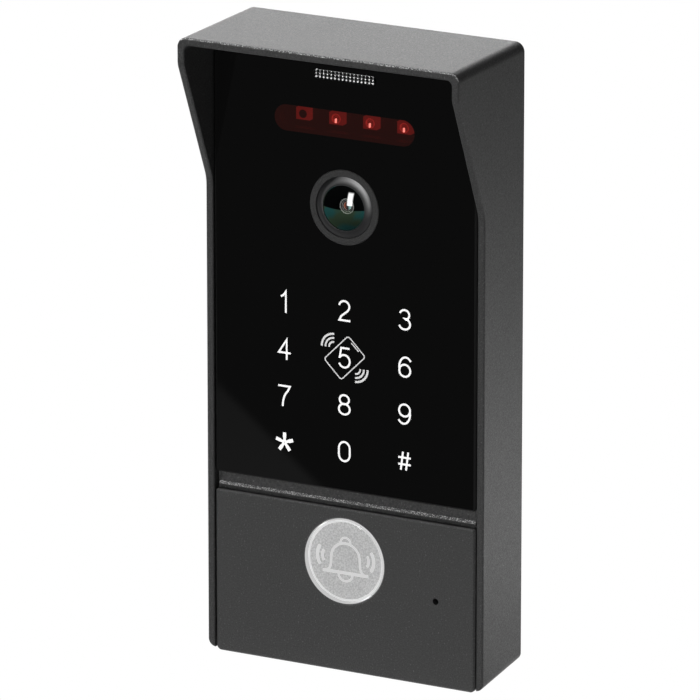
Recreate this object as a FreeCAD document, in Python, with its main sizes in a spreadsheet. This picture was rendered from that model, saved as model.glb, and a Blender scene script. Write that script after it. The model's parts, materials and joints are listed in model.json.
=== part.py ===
import FreeCAD, Part
import os
import Sketcher

# Door intercom panel for a wall beside a door: a rain hood that is screwed to the wall, and inside it
# a sealed unit with a camera, a touch keypad, a card reader, a loudspeaker, a microphone and one bell
# button. All sizes are in millimetres.
#
# Row frame: +X is to the right for someone who faces the panel, +Z is up, and the front looks along
# -Y. The origin is the centre of the hood's back face, which lies on the wall.
#
# Each sub-part is modelled in its own body frame: x to the right, y up, z out of the wall. Its
# Placement stands that frame up on the wall.

SIZES = {
    # rain hood
    "hood_top": 75.0,
    "hood_bottom": -75.6,
    "total_width": 72.4,
    "body_depth": 19.5,
    "visor_depth": 32.8,
    "hood_wall": 1.85,
    "back_plate": 2.4,
    "hood_corner": 2.3,
    "foot_corner": 1.95,
    "slope_top": 68.5,
    "slope_foot": 38.5,
    "bottom_rise": 2.1,
    "flange_under": -72.6,
    "flange_over": -70.8,
    "flange_depth": 14.6,
    "rim_round": 0.45,
    # where the hood meets the wall
    "wall_hole_radius": 2.25,
    "wall_hole_across": 36.0,
    "wall_hole_apart": 110.0,
    "cable_hole": 9.0,
    "cable_bore": 5.0,
    "cable_up": -20.0,
    # main unit
    "unit_gap": 0.3,
    "unit_back": 2.7,
    "parting": 8.6,
    "unit_front": 17.8,
    "unit_bottom": -70.5,
    "skirt_back": 14.9,
    "skirt_bottom": -75.6,
    "shell": 1.8,
    "inner_face": 15.8,
    "screw_column": 30.3,
    # glass and cover plate
    "glass_back": 17.95,
    "glass_front": 19.4,
    "glass_inset": 0.05,
    "glass_bottom": -32.2,
    "ridge_crest": 18.5,
    "ridge_top": -34.8,
    "ridge_bottom": -35.75,
    "plate_back": 18.1,
    "plate_front": 19.55,
    "plate_top": -36.4,
    "plate_bottom": -76.1,
    # what shows through the glass
    "camera_up": 36.0,
    "infrared_up": 55.5,
    "infrared_pitch": 8.8,
    "window_length": 36.2,
    "window_height": 6.2,
    "slot_up": 66.8,
    "slot_length": 16.5,
    "slot_height": 2.4,
    "key_pitch_x": 15.7,
    "key_pitch_y": 11.3,
    "key_middle_up": -5.57,
    "key_area_x": 22.5,
    "key_area_y": 23.0,
    # bell button
    "button_up": -49.2,
    "button_radius": 10.25,
    "button_front": 20.05,
    "button_travel": 0.5,
    # microphone
    "mic_across": 23.9,
    "mic_up": -55.3,
    # boards
    "main_board_back": 8.0,
    "board": 1.2,
}

WALL_SCREW_SINK = 1.5
CLEAR = 0.02


class Size:
    """A length that keeps both its value and the sheet expression that gives it."""

    def __init__(self, value, text):
        self.value = value
        self.text = text

    def __add__(self, other):
        other = as_size(other)
        return Size(self.value + other.value, f"({self.text} + {other.text})")

    def __sub__(self, other):
        other = as_size(other)
        return Size(self.value - other.value, f"({self.text} - {other.text})")

    def __mul__(self, number):
        return Size(self.value * number, f"({self.text} * {number})")

    def __truediv__(self, number):
        return Size(self.value / number, f"({self.text} / {number})")

    def __neg__(self):
        return self * -1

    __radd__ = __add__
    __rmul__ = __mul__

    def __rsub__(self, other):
        return as_size(other) - self


def as_size(item):
    """A plain number becomes a Size of its own."""
    return item if isinstance(item, Size) else Size(float(item), repr(float(item)))


class Sheet:
    """The driving dimensions, each readable as an attribute that is a Size."""

    def __init__(self, doc):
        cells = doc.addObject("Spreadsheet::Sheet", "Sizes")
        for row, (alias, value) in enumerate(SIZES.items(), start=1):
            cells.set(f"A{row}", alias)
            cells.set(f"B{row}", str(value))
            cells.setAlias(f"B{row}", alias)
            setattr(self, alias, Size(value, f"Sizes.{alias}"))


# ---------------------------------------------------------------- outlines that a sketch can draw


def pin(sketch, geometry, point, x, y):
    """Fixes one point of a sketch at x, y from the sketch's origin."""
    for kind, size in (("DistanceX", as_size(x)), ("DistanceY", as_size(y))):
        index = sketch.addConstraint(Sketcher.Constraint(kind, -1, 1, geometry, point, size.value))
        sketch.setExpression(f"Constraints[{index}]", size.text)


def vector(x, y):
    return FreeCAD.Vector(as_size(x).value, as_size(y).value, 0)


class Polygon:
    """Straight sides between the given corners."""

    def __init__(self, *corners):
        self.corners = corners

    def draw(self, sketch):
        corners = self.corners
        count = len(corners)
        first = sketch.GeometryCount
        for index in range(count):
            start = vector(*corners[index])
            end = vector(*corners[(index + 1) % count])
            sketch.addGeometry(Part.LineSegment(start, end))
        for index in range(count):
            after = first + (index + 1) % count
            sketch.addConstraint(Sketcher.Constraint("Coincident", first + index, 2, after, 1))
            pin(sketch, first + index, 1, *corners[index])


class Box(Polygon):
    """An upright rectangle between two x and two y values."""

    def __init__(self, left, right, low, high):
        super().__init__((left, low), (right, low), (right, high), (left, high))


class Circle:
    def __init__(self, x, y, radius):
        self.x = x
        self.y = y
        self.radius = as_size(radius)

    def draw(self, sketch):
        circle = Part.Circle(vector(self.x, self.y), FreeCAD.Vector(0, 0, 1), self.radius.value)
        index = sketch.addGeometry(circle)
        pin(sketch, index, 3, self.x, self.y)
        rule = sketch.addConstraint(Sketcher.Constraint("Radius", index, self.radius.value))
        sketch.setExpression(f"Constraints[{rule}]", self.radius.text)


class Stadium:
    """A level slot with half-round ends."""

    def __init__(self, x, y, length, height):
        self.x = as_size(x)
        self.y = as_size(y)
        self.radius = as_size(height) / 2
        self.reach = as_size(length) / 2 - self.radius

    def draw(self, sketch):
        quarter = 1.5707963267948966
        radius = self.radius
        first = sketch.GeometryCount
        left = self.x - self.reach
        right = self.x + self.reach
        up = FreeCAD.Vector(0, 0, 1)
        ends = ((left, quarter, 3 * quarter), (right, -quarter, quarter))
        for x, start, stop in ends:
            circle = Part.Circle(vector(x, self.y), up, radius.value)
            sketch.addGeometry(Part.ArcOfCircle(circle, start, stop))
        low = self.y - radius
        high = self.y + radius
        sketch.addGeometry(Part.LineSegment(vector(left, low), vector(right, low)))
        sketch.addGeometry(Part.LineSegment(vector(right, high), vector(left, high)))
        joins = ((first, 2, first + 2, 1), (first + 2, 2, first + 1, 1))
        joins += ((first + 1, 2, first + 3, 1), (first + 3, 2, first, 1))
        for join in joins:
            sketch.addConstraint(Sketcher.Constraint("Coincident", *join))
        for geometry, x in ((first, left), (first + 1, right)):
            pin(sketch, geometry, 3, x, self.y)
            rule = sketch.addConstraint(Sketcher.Constraint("Radius", geometry, radius.value))
            sketch.setExpression(f"Constraints[{rule}]", radius.text)
            for point in (1, 2):
                sketch.addConstraint(Sketcher.Constraint("Vertical", geometry, point, geometry, 3))


# ---------------------------------------------------------------- one sub-part


class Piece:
    """One sub-part: a PartDesign body that stands on the wall at x, up, out."""

    def __init__(self, doc, name, x=0, up=0, out=0):
        self.doc = doc
        self.body = doc.addObject("PartDesign::Body", name)
        self.body.Label = name
        self.body.AllowCompound = True
        upright = FreeCAD.Rotation(FreeCAD.Vector(1, 0, 0), 90)
        self.body.Placement = FreeCAD.Placement(FreeCAD.Vector(0, 0, 0), upright)
        spots = {"x": as_size(x), "y": -as_size(out), "z": as_size(up)}
        for axis, size in spots.items():
            self.body.setExpression(f"Placement.Base.{axis}", size.text)

    def plane(self, role):
        return next(item for item in self.body.Origin.OriginFeatures if item.Role == role)

    def sketch(self, outlines, role="XY_Plane", offset=0):
        sketch = self.body.newObject("Sketcher::SketchObject", "outline")
        sketch.AttachmentSupport = [(self.plane(role), "")]
        sketch.MapMode = "FlatFace"
        sketch.setExpression("AttachmentOffset.Base.z", as_size(offset).text)
        for outline in outlines:
            outline.draw(sketch)
        return sketch

    def feature(self, kind, name, sketch):
        item = self.body.newObject(f"PartDesign::{kind}", name)
        item.Profile = sketch
        sketch.Visibility = False
        return item

    def pad(self, outlines, low, high):
        """Adds the outlines, seen from the front, from low to high above the wall."""
        low = as_size(low)
        pad = self.feature("Pad", "pad", self.sketch(outlines, offset=low))
        pad.setExpression("Length", (as_size(high) - low).text)
        self.doc.recompute()
        return self

    def cut(self, outlines, low, high):
        """Takes the outlines away from low to high, and makes sure that something went."""
        low = as_size(low)
        before = self.body.Shape.Volume
        pocket = self.feature("Pocket", "cut", self.sketch(outlines, offset=low))
        pocket.Reversed = True
        pocket.setExpression("Length", (as_size(high) - low).text)
        return self.check_cut(before)

    def check_cut(self, before):
        self.doc.recompute()
        if self.body.Shape.Volume > before - 1e-6:
            raise ValueError(f"{self.body.Label}: a cut removed nothing")
        return self

    def pad_side(self, outlines, width):
        """Adds outlines given as (up, out), spread evenly to both sides over the width."""
        pad = self.feature("Pad", "side_pad", self.sketch(outlines, "YZ_Plane"))
        pad.SideType = "Symmetric"
        pad.setExpression("Length", as_size(width).text)
        self.doc.recompute()
        return self

    def cut_upward(self, outlines, low, high):
        """Takes away outlines given as (x, out), from low up to high."""
        before = self.body.Shape.Volume
        # The XZ plane's own normal points down, so heights along it are negative.
        pocket = self.feature("Pocket", "cut_up", self.sketch(outlines, "XZ_Plane", -as_size(low)))
        pocket.setExpression("Length", (as_size(high) - as_size(low)).text)
        return self.check_cut(before)

    def pad_upward(self, outlines, low, high):
        """Adds outlines given as (x, out), from low up to high."""
        pad = self.feature("Pad", "pad_up", self.sketch(outlines, "XZ_Plane", -as_size(low)))
        pad.Reversed = True
        pad.setExpression("Length", (as_size(high) - as_size(low)).text)
        self.doc.recompute()
        return self

    def turn(self, *profile):
        """Adds a turned form from a profile given as (radius, out)."""
        sketch = self.sketch([Polygon(*profile)], "XZ_Plane")
        turned = self.feature("Revolution", "turned", sketch)
        turned.ReferenceAxis = (sketch, ["V_Axis"])
        turned.Angle = 360
        self.doc.recompute()
        return self

    def dress(self, kind, size_name, size, test):
        """Rounds or bevels the edges of the finished form that pass the test."""
        base = self.body.Tip
        edges = [f"Edge{n}" for n, edge in enumerate(base.Shape.Edges, start=1) if test(edge)]
        if not edges:
            raise ValueError(f"{self.body.Label}: no edge to dress")
        item = self.body.newObject(f"PartDesign::{kind}", kind.lower())
        item.Base = (base, edges)
        item.setExpression(size_name, as_size(size).text)
        self.doc.recompute()
        return self

    def round(self, radius, test):
        return self.dress("Fillet", "Radius", radius, test)

    def bevel(self, size, test):
        return self.dress("Chamfer", "Size", size, test)


# ---------------------------------------------------------------- tests that pick edges


def close(a, b):
    return abs(a - as_size(b).value) < 0.02


def is_line(edge):
    return isinstance(edge.Curve, Part.Line)


def outward(edge):
    """A straight edge that runs out of the wall."""
    return is_line(edge) and abs(edge.Curve.Direction.z) > 0.999


def level(edge):
    """A straight edge that runs from side to side."""
    return is_line(edge) and abs(edge.Curve.Direction.x) > 0.999


def at_height(edge, out):
    """An edge that lies wholly in the plane this far out."""
    return close(edge.BoundBox.ZMin, out) and close(edge.BoundBox.ZMax, out)


def middle(edge):
    return edge.BoundBox.Center


def outward_corner(x, y):
    """Picks the outward edges at plus and minus x and at height y."""
    def test(edge):
        return outward(edge) and close(abs(middle(edge).x), x) and close(middle(edge).y, y)
    return test


def all_outward(edge):
    return outward(edge)


def rim_at(out):
    def test(edge):
        return at_height(edge, out)
    return test


# ---------------------------------------------------------------- shared placings


def mirrored(x):
    return (-as_size(x), as_size(x))


def wall_hole_spots(size):
    return [(x, y) for x in mirrored(size.wall_hole_across / 2)
            for y in mirrored(size.wall_hole_apart / 2)]


def housing_screw_spots(size):
    return [(x, y) for x in mirrored(size.screw_column) for y in (-66.0, 4.0, 60.0)]


MAIN_BOARD_SPOTS = [(x, y) for x in (-25.5, 25.5) for y in (-44.0, 16.0)]
CAMERA_REACH_X = 10.0
CAMERA_REACH_Y = 7.8
INFRARED_REACH = 24.6


def camera_board_spots(size):
    return [(x, size.camera_up + y) for x in (-CAMERA_REACH_X, CAMERA_REACH_X)
            for y in (-CAMERA_REACH_Y, CAMERA_REACH_Y)]


def infrared_board_spots(size):
    return [(x, size.infrared_up) for x in (-INFRARED_REACH, INFRARED_REACH)]


def key_spots(size):
    return [(size.key_pitch_x * column, size.key_middle_up + size.key_pitch_y * row)
            for row in (1.5, 0.5, -0.5, -1.5) for column in (-1, 0, 1)]


def infrared_spots(size):
    """Four equal places behind the dark window, from left to right."""
    return [size.infrared_pitch * place for place in (-1.5, -0.5, 0.5, 1.5)]


def circles(spots, radius):
    return [Circle(x, y, radius) for x, y in spots]


HOOD_SCREW_SPOTS = [-14.0, 14.0]
HOOD_SCREW_OUT = 11.0
PEG_SPOTS = [-20.0, 20.0]
PEG_OUT = 12.0
CAMERA_BOARD_BACK = 7.65
CAMERA_BOARD = 1.0
INFRARED_BOARD_BACK = 12.3
INFRARED_BOARD = 1.0
BOARD_SCREW_HEAD = 1.3
BOARD_SCREW_REACH = 3.2


# ---------------------------------------------------------------- rain hood and wall side


def make_rain_hood(doc, size):
    half = size.total_width / 2
    top = size.hood_top
    bottom = size.hood_bottom
    inside = half - size.hood_wall
    side = Polygon(
        (bottom + size.bottom_rise, 0), (bottom, size.body_depth), (size.slope_foot, size.body_depth),
        (size.slope_top, size.visor_depth), (top, size.visor_depth), (top, 0))
    hood = Piece(doc, "rain_hood")
    hood.pad_side([side], size.total_width)
    hood.round(9, lambda edge: level(edge) and close(middle(edge).y, size.slope_foot))
    hood.round(4, lambda edge: level(edge) and close(middle(edge).y, size.slope_top))
    hood.round(size.hood_corner, outward_corner(half, top))
    hood.round(size.foot_corner, lower_corner(half, bottom + size.bottom_rise / 2))
    hood.cut([Box(-inside, inside, bottom - 5, top - size.hood_wall)],
             size.back_plate, size.visor_depth + 5)
    hood.round(1.3, outward_corner(inside, top - size.hood_wall))
    hood.round(size.rim_round, front_rim(size))
    lap = size.hood_wall / 2
    hood.pad_upward([Box(-inside - lap, inside + lap, 1.0, size.flange_depth)],
                    size.flange_under, size.flange_over)
    hood.pad_upward([Circle(x, PEG_OUT, 1.2) for x in PEG_SPOTS],
                    top - size.hood_wall - 2.2, top - lap)
    hood.cut(circles(wall_hole_spots(size), size.wall_hole_radius), -1, size.back_plate + 1)
    hood.bevel(WALL_SCREW_SINK, lambda edge: at_height(edge, size.back_plate)
               and isinstance(edge.Curve, Part.Circle)
               and close(edge.Curve.Radius, size.wall_hole_radius))
    hood.cut([Circle(0, size.cable_up, size.cable_hole)], -1, size.back_plate + 1)
    hood.cut([Circle(0, size.cable_up, size.cable_hole + 2.0)], -1, 0.8)
    hood.cut([Circle(0, size.cable_up, 17.0), Circle(0, size.cable_up, 13.0)], -1, 1.0)
    hood.cut_upward([Circle(x, HOOD_SCREW_OUT, 1.7) for x in HOOD_SCREW_SPOTS],
                    size.flange_under - 1, size.flange_over + 1)
    return hood


def lower_corner(x, y):
    """Picks the sloping edges along the foot of the hood's side walls."""
    def test(edge):
        return is_line(edge) and close(abs(middle(edge).x), x) and close(middle(edge).y, y)
    return test


def front_rim(size):
    """Picks the edges all round the hood's front face, outside and inside."""
    def test(edge):
        box = edge.BoundBox
        runs_along = box.YLength > 1.0 or box.XLength > 3.0
        in_front = box.ZMin > size.body_depth.value - 0.02
        return in_front and runs_along and edge.Length > 1.0
    return test


def make_wall_gasket(doc, size):
    gasket = Piece(doc, "wall_gasket", up=size.cable_up)
    gasket.pad([Circle(0, 0, 16.95), Circle(0, 0, 13.05)], 0, 0.98)
    return gasket


def make_cable_grommet(doc, size):
    bore = size.cable_bore
    neck = size.cable_hole - 0.05
    lip = size.cable_hole + 1.9
    grommet = Piece(doc, "cable_grommet", up=size.cable_up)
    grommet.turn((bore, 0), (lip, 0), (lip, 0.78), (neck, 0.78), (neck, size.back_plate + CLEAR),
                 (lip, size.back_plate + CLEAR), (lip, 3.3), (bore, 3.3))
    return grommet


def make_hood_fixing_screws(doc, size):
    """Two security screws that hold the unit in the hood from below."""
    screws = Piece(doc, "hood_fixing_screws")
    heads = [Circle(x, HOOD_SCREW_OUT, 2.7) for x in HOOD_SCREW_SPOTS]
    shanks = [Circle(x, HOOD_SCREW_OUT, 1.45) for x in HOOD_SCREW_SPOTS]
    sockets = [Circle(x, HOOD_SCREW_OUT, 1.1) for x in HOOD_SCREW_SPOTS]
    under = size.flange_under
    screws.pad_upward(heads, under - 1.7, under - CLEAR)
    screws.pad_upward(shanks, under - 0.5, under + 8.0)
    screws.cut_upward(sockets, under - 1.8, under - 0.7)
    return screws


# ---------------------------------------------------------------- main unit's shells


def unit_half(size):
    return size.total_width / 2 - size.hood_wall - size.unit_gap


def unit_top(size):
    return size.hood_top - size.hood_wall - size.unit_gap


def make_rear_housing(doc, size):
    half = unit_half(size)
    top = unit_top(size)
    floor = size.unit_back + size.shell
    spots = housing_screw_spots(size)
    shell = Piece(doc, "rear_housing")
    shell.pad([Box(-half, half, size.unit_bottom, top)], size.unit_back, size.parting)
    shell.round(1.1, all_outward)
    shell.cut([Box(-half + size.shell, half - size.shell,
                   size.unit_bottom + size.shell, top - size.shell)], floor, size.parting + 1)
    shell.pad(circles(spots, 2.6), floor - 0.5, size.parting)
    shell.cut(circles(spots, 1.6), 0, size.parting + 1)
    shell.cut(circles(spots, 3.0), 0, size.unit_back + 1.0)
    shell.cut([Box(-17, 17, -34, 8)], 0, floor + 1)
    shell.cut(gasket_track(size, 0.42, 1.38), size.parting - 0.6, size.parting + 1)
    return shell


def gasket_track(size, outer, inner):
    """A loop in the shell's side wall, from outer to inner below its outside face."""
    half = unit_half(size)
    top = unit_top(size)
    return [Box(-half + inset, half - inset, size.unit_bottom + inset, top - inset)
            for inset in (outer, inner)]


def make_housing_gasket(doc, size):
    gasket = Piece(doc, "housing_gasket")
    gasket.pad(gasket_track(size, 0.44, 1.36), size.parting - 0.58, size.parting - CLEAR)
    return gasket


def make_housing_screws(doc, size):
    spots = housing_screw_spots(size)
    seat = size.unit_back + 1.0
    screws = Piece(doc, "housing_screws")
    screws.pad(circles(spots, 2.5), size.unit_back + 0.1, seat - CLEAR)
    screws.pad(circles(spots, 1.3), seat - 0.4, seat + 9.0)
    screws.cut(circles(spots, 0.9), 0, size.unit_back + 0.6)
    return screws


def make_front_housing(doc, size):
    half = unit_half(size)
    top = unit_top(size)
    inner = half - size.shell
    front = size.unit_front
    spots = housing_screw_spots(size)
    shell = Piece(doc, "front_housing")
    shell.pad([Box(-half, half, size.unit_bottom, top)], size.parting, front)
    shell.round(1.1, all_outward)
    shell.pad([Box(-half, half, size.skirt_bottom, size.unit_bottom + 3)], size.skirt_back, front)
    shell.cut([Box(-inner, inner, size.unit_bottom + size.shell, top - size.shell)],
              size.parting - 1, size.inner_face)
    shell.pad(circles(spots, 2.6), size.parting, size.inner_face + 0.5)
    shell.cut(circles(spots, 1.35), size.parting - 1, size.inner_face - 1)
    shell.pad(circles(MAIN_BOARD_SPOTS, 1.9), size.main_board_back + size.board, size.inner_face + 0.5)
    shell.pad(circles(camera_board_spots(size), 1.7),
              CAMERA_BOARD_BACK + CAMERA_BOARD, size.inner_face + 0.5)
    shell.pad(circles(infrared_board_spots(size), 1.7),
              INFRARED_BOARD_BACK + INFRARED_BOARD, size.inner_face + 0.5)
    all_bosses = MAIN_BOARD_SPOTS + camera_board_spots(size) + infrared_board_spots(size)
    shell.cut(circles(all_bosses, 0.95), 0, size.inner_face - 0.2)
    shell.pad_upward([Circle(x, HOOD_SCREW_OUT, 2.35) for x in HOOD_SCREW_SPOTS],
                     size.unit_bottom + 1.0, size.unit_bottom + 7.0)
    shell.cut_upward([Circle(x, HOOD_SCREW_OUT, 1.5) for x in HOOD_SCREW_SPOTS],
                     size.unit_bottom - 1, size.unit_bottom + 6.2)
    shell.cut_upward([Circle(x, PEG_OUT, 1.4) for x in PEG_SPOTS], top - size.shell - 1, top + 1)
    add_ridge(shell, size)
    cut_front_openings(shell, size)
    return shell


RIDGE_END = 0.45


def add_ridge(shell, size):
    """The low rounded bar across the front, between the glass and the cover plate."""
    crest = size.ridge_crest
    top = size.ridge_top
    low = size.ridge_bottom
    foot = size.unit_front - 0.5
    bar = Polygon((low, foot), (low, crest), (low + 0.4, crest), (low + 0.65, crest - 0.2),
                  (top, size.unit_front), (top, foot))
    shell.pad_side([bar], unit_half(size) * 2 - RIDGE_END * 2)
    shell.round(0.25, lambda edge: level(edge) and close(middle(edge).z, crest)
                and close(middle(edge).y, low))


def key_area(size, margin):
    """The rectangle behind the twelve keys, grown on all sides by the margin."""
    across = size.key_area_x + margin
    rise = size.key_area_y + margin
    return Box(-across, across, size.key_middle_up - rise, size.key_middle_up + rise)


def cut_front_openings(shell, size):
    through = size.unit_front + 0.5
    low = size.inner_face - 0.5
    shell.cut([key_area(size, 0)], low, through)
    shell.cut([Circle(0, size.camera_up, 9.1)], low, through)
    shell.cut([window_slot(size, -1.0)], low, through)
    shell.cut([Stadium(0, size.slot_up, size.slot_length, size.slot_height)], low, through)
    shell.cut([Circle(0, size.button_up, 11.6)], low, through)
    shell.cut([Circle(size.mic_across, size.mic_up, 1.2)], low, through)


# ---------------------------------------------------------------- glass, window and cover plate


def window_slot(size, growth):
    """Outline of the dark window, longer and higher by the growth."""
    length = size.window_length + growth
    return Stadium(0, size.infrared_up, length, size.window_height + growth)


def make_glass_panel(doc, size):
    half = unit_half(size) - size.glass_inset
    top = unit_top(size) - size.glass_inset
    front = size.glass_front
    glass = Piece(doc, "glass_panel")
    glass.pad([Box(-half, half, size.glass_bottom, top)], size.glass_back, front)
    glass.round(0.8, all_outward)
    glass.bevel(0.45, rim_at(front))
    low = size.glass_back - 1
    glass.cut([Circle(0, size.camera_up, 9.0)], low, front + 1)
    glass.cut([window_slot(size, 0)], low, front + 1)
    glass.cut([Stadium(0, size.slot_up, size.slot_length, size.slot_height)], low, front + 1)
    return glass


def make_glass_adhesive(doc, size):
    """Thin foam tape between the glass and the front housing."""
    half = unit_half(size) - size.glass_inset - 0.5
    top = unit_top(size) - size.glass_inset - 0.5
    low = size.unit_front + CLEAR / 2
    high = size.glass_back - CLEAR / 2
    tape = Piece(doc, "glass_adhesive")
    tape.pad([Box(-half, half, size.glass_bottom + 0.5, top)], low, high)
    tape.cut([key_area(size, 0)], low, high)
    tape.cut([Circle(0, size.camera_up, 9.6)], low, high)
    tape.cut([window_slot(size, 0.6)], low, high)
    tape.cut([Stadium(0, size.slot_up, size.slot_length + 0.6, size.slot_height - 0.1)], low, high)
    return tape


def make_infrared_window(doc, size):
    window = Piece(doc, "infrared_window")
    window.pad([window_slot(size, -2 * CLEAR)], size.glass_back, size.glass_front)
    return window


def make_lower_plate(doc, size):
    half = unit_half(size)
    back = size.plate_back
    front = size.plate_front
    plate = Piece(doc, "lower_plate")
    plate.pad([Box(-half, half, size.plate_bottom, size.plate_top)], back, front)
    plate.round(1.3, outward_corner(half, size.plate_bottom))
    plate.round(0.6, outward_corner(half, size.plate_top))
    plate.bevel(0.45, rim_at(front))
    plate.cut([Circle(0, size.button_up, size.button_radius + 0.12)], back - 1, front + 1)
    plate.cut([Circle(0, size.button_up, 11.7)], back - 1, back + 0.9)
    plate.bevel(0.3, lambda edge: at_height(edge, front) and isinstance(edge.Curve, Part.Circle)
                and close(edge.Curve.Radius, size.button_radius + 0.12))
    plate.cut([Circle(size.mic_across, size.mic_up, 0.75)], back - 1, front + 1)
    return plate


def make_plate_adhesive(doc, size):
    half = unit_half(size) - 1.5
    low = size.unit_front + CLEAR / 2
    high = size.plate_back - CLEAR / 2
    pad = Piece(doc, "plate_adhesive")
    pad.pad([Box(-half, half, size.skirt_bottom + 1.5, size.plate_top - 1.0)], low, high)
    pad.cut([Circle(0, size.button_up, 12.2)], low, high)
    pad.cut([Circle(size.mic_across, size.mic_up, 1.5)], low, high)
    return pad


# ---------------------------------------------------------------- loudspeaker


SPEAKER_UP = 59.7
SPEAKER_BACK = 4.52


def rounded_block(piece, half_x, half_y, radius, low, high):
    """A block with rounded upright corners, as the first form of a piece."""
    piece.pad([Box(-half_x, half_x, -half_y, half_y)], low, high)
    return piece.round(radius, all_outward)


def make_speaker_mesh(doc, size):
    """A perforated metal strip in the slot above the window."""
    mesh = Piece(doc, "speaker_mesh", up=size.slot_up)
    mesh.pad([Stadium(0, 0, size.slot_length - 0.1, size.slot_height - 0.1)], 18.35, 18.65)
    holes = [Circle(0.98 * (column - 7.5), 0.75 * row, 0.3)
             for row in (-1, 0, 1) for column in range(16)]
    mesh.cut(holes, 18.3, 18.7)
    return mesh


def make_speaker_basket(doc, size):
    basket = Piece(doc, "speaker_basket", up=SPEAKER_UP, out=SPEAKER_BACK)
    rounded_block(basket, 15, 10, 1.5, 0, 5.1)
    basket.cut([Box(-14.2, 14.2, -9.2, 9.2)], 0.8, 6)
    basket.cut([Circle(0, 0, 7.1)], -1, 1)
    return basket


def make_speaker_magnet(doc, size):
    magnet = Piece(doc, "speaker_magnet", up=SPEAKER_UP, out=SPEAKER_BACK)
    magnet.pad([Circle(0, 0, 7.0)], 0.02, 3.4)
    magnet.cut([Circle(0, 0, 5.6), Circle(0, 0, 4.4)], 1.0, 4)
    return magnet


def make_speaker_cone(doc, size):
    """The diaphragm with its voice coil, which reaches into the magnet's gap."""
    cone = Piece(doc, "speaker_cone", up=SPEAKER_UP, out=SPEAKER_BACK)
    cone.pad([Box(-14.0, 14.0, -9.0, 9.0)], 4.2, 4.5)
    cone.pad([Circle(0, 0, 5.4), Circle(0, 0, 4.6)], 2.0, 4.3)
    return cone


def make_speaker_gasket(doc, size):
    gasket = Piece(doc, "speaker_gasket", up=SPEAKER_UP, out=SPEAKER_BACK)
    rounded_block(gasket, 15, 10, 1.5, 5.12, 5.6)
    gasket.cut([Box(-14.2, 14.2, -9.2, 9.2)], 5, 6)
    return gasket


# ---------------------------------------------------------------- camera
#
# The lens parts are measured outwards from the front face of the glass.


def lens_part(doc, size, name):
    return Piece(doc, name, up=size.camera_up, out=size.glass_front)


def make_camera_ring(doc, size):
    """Flat textured ring round the lens; its flange sits behind the front wall."""
    ring = lens_part(doc, size, "camera_ring")
    flange = size.inner_face - size.glass_front - CLEAR
    ring.turn((7.3, -4.4), (10.4, -4.4), (10.4, flange), (8.93, flange), (8.93, 0.0), (8.78, 0.15),
              (7.4, 0.15), (7.3, 0.05))
    return ring


def make_lens_barrel(doc, size):
    barrel = lens_part(doc, size, "lens_barrel")
    barrel.turn((3.6, -8.95), (5.95, -8.95), (5.95, -3.2), (7.2, -3.2), (7.2, -0.4), (7.05, -0.25),
                (5.65, 0.3), (5.4, 0.3), (5.4, -1.95), (4.3, -1.95), (4.3, -5.45), (3.6, -5.45))
    return barrel


def dome_profile(edge_radius, edge_out, rise, steps):
    """Points of a shallow dome from its edge to its crown."""
    ball = (edge_radius ** 2 + rise ** 2) / (2 * rise)
    points = []
    for step in range(steps + 1):
        radius = edge_radius * (1 - step / steps)
        drop = ball - (ball ** 2 - radius ** 2) ** 0.5
        points.append((radius, edge_out + rise - drop))
    return points


def make_lens_front_element(doc, size):
    """Domed wide-angle front lens with a hollow back."""
    front = dome_profile(5.35, 0.15, 1.8, 12)
    hollow = dome_profile(3.6, -1.9, 1.5, 8)
    lens = lens_part(doc, size, "lens_front_element")
    lens.turn((5.35, -1.9), *front, *reversed(hollow))
    return lens


def make_lens_baffle(doc, size):
    baffle = lens_part(doc, size, "lens_baffle")
    baffle.turn((2.2, -3.45), (4.25, -3.45), (4.25, -2.0), (3.7, -2.0), (3.7, -2.45), (3.0, -2.45),
                (3.0, -2.95), (2.2, -2.95))
    return baffle


def make_lens_inner_element(doc, size):
    front = dome_profile(4.25, -4.35, 0.8, 8)
    lens = lens_part(doc, size, "lens_inner_element")
    lens.turn((0, -5.4), (4.25, -5.4), *front)
    return lens


def make_lens_holder(doc, size):
    holder = Piece(doc, "lens_holder", up=size.camera_up)
    base = CAMERA_BOARD_BACK + CAMERA_BOARD
    holder.pad([Box(-7, 7, -7, 7)], base, base + 2.4)
    holder.pad([Circle(0, 0, 7.0)], base + 2.3, base + 5.8)
    holder.cut([Box(-5, 5, -5, 5)], base - 1, base + 1.7)
    holder.cut([Circle(0, 0, 6.0)], base + 1.6, base + 7)
    return holder


def make_image_sensor(doc, size):
    sensor = Piece(doc, "image_sensor", up=size.camera_up)
    base = CAMERA_BOARD_BACK + CAMERA_BOARD
    sensor.pad([Box(-4, 4, -3.5, 3.5)], base, base + 0.8)
    sensor.cut([Box(-2.9, 2.9, -2.2, 2.2)], base + 0.6, base + 1)
    return sensor


def make_camera_board(doc, size):
    board = Piece(doc, "camera_board", up=size.camera_up)
    high = CAMERA_BOARD_BACK + CAMERA_BOARD
    board.pad([Box(-12, 12, -9.8, 9.8)], CAMERA_BOARD_BACK, high)
    holes = [(x, y) for x in (-CAMERA_REACH_X, CAMERA_REACH_X)
             for y in (-CAMERA_REACH_Y, CAMERA_REACH_Y)]
    board.cut(circles(holes, 1.05), 0, high + 1)
    return board


def make_camera_flex(doc, size):
    """Flat cable from the camera board down to the main board."""
    flex = Piece(doc, "camera_flex")
    low = CAMERA_BOARD_BACK - 0.35
    flex.pad([Box(-4, 4, 19.0, 34.0)], low, CAMERA_BOARD_BACK - 0.05)
    flex.pad([Box(-4, 4, 19.0, 21.2)], low, size.main_board_back - 0.05)
    return flex


# ---------------------------------------------------------------- infrared lamps


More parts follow.
